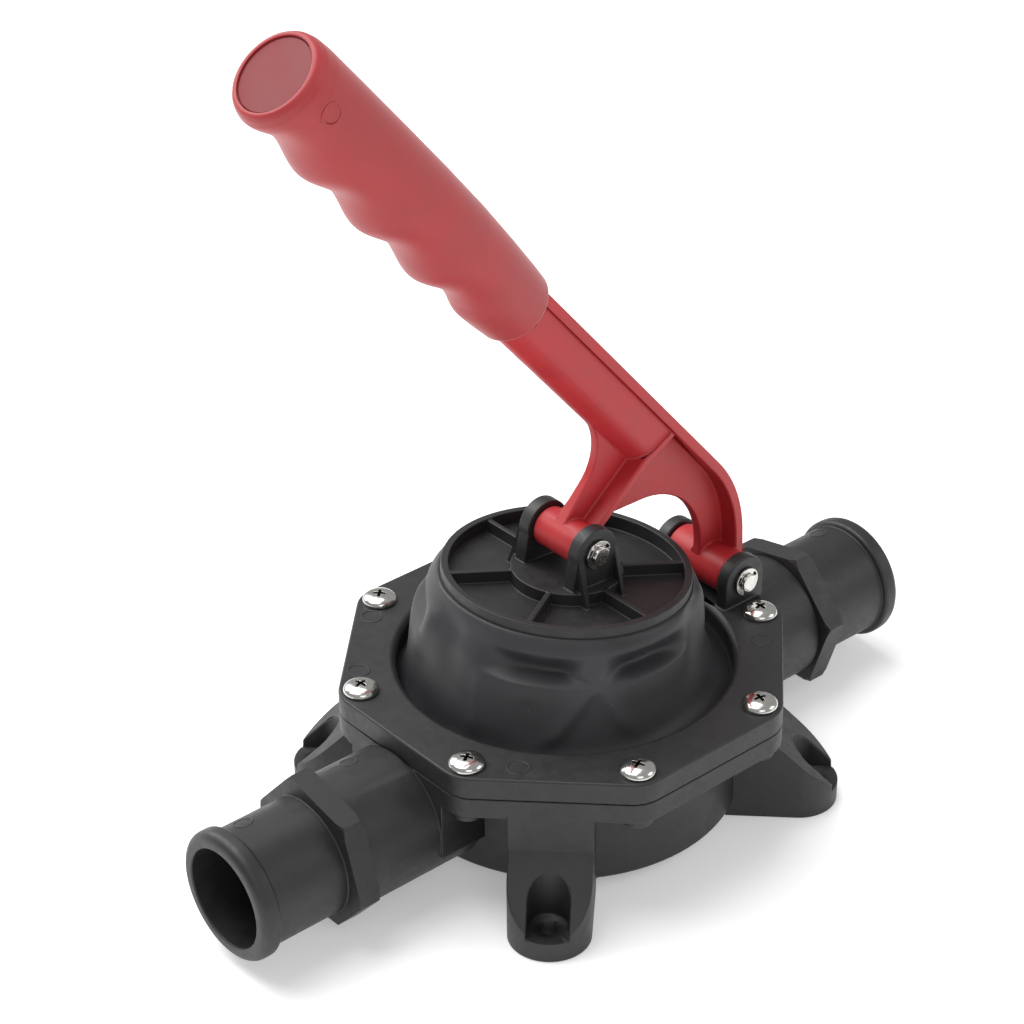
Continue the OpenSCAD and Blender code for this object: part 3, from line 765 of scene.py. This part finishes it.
class PUMP_OT_grip(bpy.types.Operator):
    """Soft grip with finger grooves, and the disc in its end"""
    bl_idname = "pump.grip"
    bl_label = "Grip"

    STEPS_ROUND = 96
    STEPS_ALONG = 150
    # All in mm.
    START = 143.6            # along the lever, where the grip starts
    AXIS = -15.6             # across the lever, where its axis lies
    LENGTH = 122.9
    # Radius of the round outline at places along the grip.
    OUTLINE = ((10.4, 0.0), (11.3, 0.25), (11.8, 1.2), (12.4, 8), (13.2, 20), (14.1, 38),
               (14.5, 58), (14.6, 80), (14.6, 100), (14.55, 115), (14.2, 119.5), (13.6, 121.6),
               (12.8, 122.7), (12.3, 122.9))
    ROUNDED_ENDS = [0.1, 0.6, 120.5, 121.1, 122.2]     # further places that need a ring
    # Radius and depth of the recess that holds the end disc.
    RECESS = ((11.75, 0.0), (11.55, 0.1), (11.5, 0.4), (11.5, 3.0))
    GROOVES_FROM, GROOVES_TO = 12.5, 121.5
    FIRST_GROOVE = 25.9
    GROOVE_PITCH = 27.3
    MARK_AT = 111.9          # along the grip, where its ejector mark lies
    MARK_RADIUS = 3.0

    def point(self, along, radius, angle):
        """A point at a radius and an angle round the grip; the angle is zero underneath."""
        return lever_point((self.START + along) * MM,
                           (self.AXIS + radius * math.cos(angle)) * MM,
                           radius * math.sin(angle) * MM)

    def radius(self, along):
        """Radius of the round outline at a place along the grip."""
        for (r0, s0), (r1, s1) in zip(self.OUTLINE, self.OUTLINE[1:]):
            if along <= s1:
                return r0 + (r1 - r0) * (along - s0) / (s1 - s0)
        return self.OUTLINE[-1][0]

    def groove(self, along):
        """Depth of the finger grooves at a place along the grip, as a share."""
        if not self.GROOVES_FROM < along < self.GROOVES_TO:
            return 0.0
        wave = 0.5 + 0.5 * math.cos(2 * math.pi * (along - self.FIRST_GROOVE) / self.GROOVE_PITCH)
        faded = ease(along, self.GROOVES_FROM, 20) * (1 - ease(along, 114, self.GROOVES_TO))
        return wave ** 0.85 * faded

    def ring(self, along, radius, groove=0.0):
        """A ring of points round the grip, pressed in underneath by a finger groove."""
        ring = []
        for k in range(self.STEPS_ROUND):
            angle = 2 * math.pi * k / self.STEPS_ROUND
            pressed = groove * max(0.0, math.cos(angle)) ** 1.4
            ring.append(self.point(along, radius - pressed, angle))
        return ring

    def mould_mark(self):
        """The round mark of an ejector pin on the side of the grip near its end."""
        mark = pin_mark(self.MARK_RADIUS, 0.3)
        mark.name = "grip_ejector_mark"
        surface = self.radius(self.MARK_AT)
        for vertex in mark.data.vertices:
            angle = -math.pi / 2 + vertex.co.y / surface
            vertex.co = self.point(self.MARK_AT + vertex.co.x, surface - 0.1 + vertex.co.z, angle)
        return smooth(mark, 60)

    def execute(self, context):
        depth = context.scene.pump_sizes.groove_depth / MM
        even = [self.LENGTH * k / self.STEPS_ALONG for k in range(self.STEPS_ALONG + 1)]
        stations = sorted(set([s for r, s in self.OUTLINE] + even + self.ROUNDED_ENDS))
        rings = [self.ring(along, self.radius(along), depth * self.groove(along))
                 for along in stations]
        rings += [self.ring(self.LENGTH - down, radius) for radius, down in self.RECESS]
        grip = skin("grip_moulded", rings, True, True)
        smooth(grip, 50)
        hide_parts("grip")
        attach(finish(grip, "grip"), "lever")
        plug = rounded_copy("grip_end_plug", "grip_end_disc", 0.35 * MM, 3)
        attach(finish(plug, "disc"), "lever")
        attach(finish(self.mould_mark(), "grip"), "lever")
        return {"FINISHED"}


class PUMP_OT_screws(bpy.types.Operator):
    """Eight pan-head screws with crossed recesses, on the clamp ring"""
    bl_idname = "pump.screws"
    bl_label = "Ring screws"

    # All in mm.
    HEAD_RADIUS = 5.6
    HEAD_HEIGHT = 3.0
    HEAD_EDGE = 0.35         # height of the head's upright edge
    SHANK_RADIUS = 2.4
    SHANK_END = -13.0
    CIRCLE = 65.8            # radius of the circle on which the screws stand
    RECESS_DEPTH = 1.9
    RECESS_ARM = (5.0, 1.25)
    RECESS_REACH = 2.9       # radius inside which the recess lies
    TURNS = (0.3, 1.1, 0.75, 0.15, 0.55, 0.4, 1.35, 0.05)

    def recess_bar(self, turn):
        """One bar of the crossed recess, narrower at its bottom than at its mouth."""
        top = self.HEAD_HEIGHT * MM
        bpy.ops.mesh.primitive_cube_add(size=1, location=(0, 0, top))
        bar = bpy.context.object
        length, width = self.RECESS_ARM
        bar.scale = (length * MM, width * MM, 2 * self.RECESS_DEPTH * MM)
        bar.rotation_euler = (0, 0, turn)
        settle(bar)
        for vertex in bar.data.vertices:
            if vertex.co.z < top:
                vertex.co.x *= 0.62
                vertex.co.y *= 0.62
        return bar

    def one_screw(self):
        """One screw on the origin, with its recess cut."""
        dome = self.HEAD_HEIGHT - self.HEAD_EDGE
        profile = [(0.0, self.HEAD_HEIGHT)]
        for k in range(1, 13):
            angle = math.radians(90 * k / 13)
            profile.append((self.HEAD_RADIUS * math.sin(angle),
                            self.HEAD_EDGE + dome * math.cos(angle) ** 0.85))
        profile += [(self.HEAD_RADIUS, 0.3), (self.HEAD_RADIUS - 0.12, 0.06),
                    (self.HEAD_RADIUS - 0.4, 0.0), (self.SHANK_RADIUS, 0.0),
                    (self.SHANK_RADIUS, self.SHANK_END), (1.9, -13.6), (0.0, -13.6)]
        screw = turned("screw", [(r * MM, z * MM) for r, z in profile], 56)
        for quarter in (0, 1):
            cutter = self.recess_bar(math.pi / 2 * quarter)
            apply_modifier(screw, "BOOLEAN", object=cutter, operation="DIFFERENCE",
                           solver="EXACT")
            bpy.data.objects.remove(cutter)
        apply_modifier(screw, "BEVEL", width=0.08 * MM, segments=2, limit_method="ANGLE",
                       angle_limit=math.radians(40), use_clamp_overlap=False)
        return screw

    def in_recess(self, centre):
        """Whether a face of a screw on the origin lies inside its recess."""
        across = math.hypot(centre.x, centre.y) / MM
        curve = max(0.0, 1 - (across / self.HEAD_RADIUS) ** 2) ** 0.43
        surface = self.HEAD_EDGE + (self.HEAD_HEIGHT - self.HEAD_EDGE) * curve
        return across < self.RECESS_REACH and 0 < centre.z / MM < surface - 0.16

    def execute(self, context):
        master = self.one_screw()
        dark = [self.in_recess(face.center) for face in master.data.polygons]
        screws = []
        for k, turn in enumerate(self.TURNS):
            screw = linked("screw", master.data.copy())
            angle = math.radians(22.5 + 45 * k)
            screw.location = (self.CIRCLE * MM * math.cos(angle),
                              self.CIRCLE * MM * math.sin(angle), RING_TOP + 0.02 * MM)
            screw.rotation_euler = (0, 0, turn)
            screws.append(settle(screw))
        bpy.data.objects.remove(master)
        piece = joined("ring_screws_polished", *screws)
        smooth(piece, 35)
        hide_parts("ring_screws")
        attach(finish(piece, "steel"), "base")
        # The faces inside each recess take the painted shade.
        piece.data.materials.append(recess_steel())
        for face, inside in zip(piece.data.polygons, dark * len(self.TURNS)):
            face.material_index = 1 if inside else 0
        return {"FINISHED"}


class PUMP_OT_pins(bpy.types.Operator):
    """The lever's two headed pins and their clips"""
    bl_idname = "pump.pins"
    bl_label = "Pins and clips"

    def execute(self, context):
        for name, body in (("fulcrum", "base"), ("plate", "plate")):
            pin = rounded_copy(f"{name}_pin", f"{name}_pin_polished", 0.3 * MM, 3)
            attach(finish(pin, "steel"), body)
            clip = rounded_copy(f"{name}_pin_clip", f"{name}_clip_polished", 0.12 * MM, 2)
            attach(finish(clip, "steel"), body)
        return {"FINISHED"}


class PUMP_OT_valves(bpy.types.Operator):
    """Valve seats, flaps and flap pins inside the necks"""
    bl_idname = "pump.valves"
    bl_label = "Valves"

    def execute(self, context):
        for port in ("inlet", "outlet"):
            finish(frame["nodes"][f"{port}_valve_seat"], "nylon")
            finish(frame["nodes"][f"{port}_flap"], "seal")
            finish(frame["nodes"][f"{port}_flap_pin"], "steel")
        return {"FINISHED"}


class PUMP_OT_stage(bpy.types.Operator):
    """Pale floor, soft studio lights and the camera"""
    bl_idname = "pump.stage"
    bl_label = "Stage"

    # Where the camera looks, from how far, and how it is turned.
    TARGET = Vector((0.0601, 0.0950, 0.0345))
    DISTANCE = 1.0027
    TURN = math.radians(-40.447)
    HEIGHT = math.radians(31.594)
    ROLL = math.radians(-0.572)
    SENSOR = 36
    LENS = 101.3
    # Each light's name, place, width in metres and power in watts.
    LIGHTS = (("overhead_softbox", (-0.25, 0.55, 1.6), 1.4, 27),
              ("left_softbox", (-0.15, 0.95, 0.6), 0.6, 4.5),
              ("right_softbox", (1.05, -1.05, 0.9), 0.8, 4),
              ("front_softbox", (-0.7, -1.4, 1.3), 1.0, 4.5))
    LIT = Vector((0, 0, 0.08))
    FLOOR_SIZE = 8
    FLOOR_DROP = 0.0003      # keeps the floor clear of the feet

    def softbox(self, name, place, size, power):
        """A large square light that faces the pump."""
        light = bpy.data.lights.new(name, "AREA")
        light.size = size
        light.energy = power
        lamp = linked(name, light)
        lamp.location = place
        lamp.rotation_euler = (self.LIT - Vector(place)).to_track_quat("-Z", "Y").to_euler()

    def camera(self):
        """The camera, turned about its target."""
        right = Vector((math.cos(self.TURN), math.sin(self.TURN), 0))
        back = Vector((math.sin(self.TURN) * math.cos(self.HEIGHT),
                       -math.cos(self.TURN) * math.cos(self.HEIGHT), math.sin(self.HEIGHT)))
        up = back.cross(right)
        rolled_right = math.cos(self.ROLL) * right + math.sin(self.ROLL) * up
        rolled_up = math.cos(self.ROLL) * up - math.sin(self.ROLL) * right
        facing = Matrix((rolled_right, rolled_up, back)).transposed().to_4x4()
        lens = bpy.data.cameras.new("studio_camera")
        lens.sensor_width = self.SENSOR
        lens.lens = self.LENS
        lens.clip_start = 0.05
        camera = linked("studio_camera", lens)
        camera.matrix_world = Matrix.Translation(self.TARGET + self.DISTANCE * back) @ facing
        return camera

    def execute(self, context):
        bpy.ops.mesh.primitive_grid_add(x_subdivisions=4, y_subdivisions=4, size=self.FLOOR_SIZE,
                                        location=(0, 0, -self.FLOOR_DROP))
        floor = settle(bpy.context.object)
        floor.name = "studio_floor"
        finish(floor, "paper")
        for light in self.LIGHTS:
            self.softbox(*light)
        world = bpy.data.worlds.new("studio_air")
        world.use_nodes = True
        air = world.node_tree.nodes["Background"]
        air.inputs["Color"].default_value = (1, 1, 1, 1)
        air.inputs["Strength"].default_value = 0.4
        context.scene.world = world
        context.scene.view_settings.view_transform = "Standard"
        context.scene.camera = self.camera()
        return {"FINISHED"}


class PUMP_PT_panel(bpy.types.Panel):
    """Sizes, colours and steps of the pump"""
    bl_idname = "PUMP_PT_panel"
    bl_label = "Hand bilge pump"
    bl_space_type = "VIEW_3D"
    bl_region_type = "UI"
    bl_category = "Bilge pump"

    def draw(self, context):
        for group in (context.scene.pump_sizes, context.scene.pump_colours):
            for name in group.bl_rna.properties.keys():
                if name not in ("rna_type", "name"):
                    self.layout.prop(group, name)
        for step in STEPS:
            self.layout.operator(step.bl_idname)


STEPS = (PUMP_OT_body, PUMP_OT_tails, PUMP_OT_diaphragm, PUMP_OT_plate, PUMP_OT_lever,
         PUMP_OT_grip, PUMP_OT_screws, PUMP_OT_pins, PUMP_OT_valves, PUMP_OT_stage)
CLASSES = (PumpSizes, PumpColours) + STEPS + (PUMP_PT_panel,)


def register():
    for item in CLASSES:
        bpy.utils.register_class(item)
    bpy.types.Scene.pump_sizes = bpy.props.PointerProperty(type=PumpSizes)
    bpy.types.Scene.pump_colours = bpy.props.PointerProperty(type=PumpColours)


def unregister():
    del bpy.types.Scene.pump_colours
    del bpy.types.Scene.pump_sizes
    for item in reversed(CLASSES):
        bpy.utils.unregister_class(item)


def main():
    register()
    for step in STEPS:
        group, name = step.bl_idname.split(".")
        getattr(getattr(bpy.ops, group), name)()


if __name__ == "__main__":
    main()
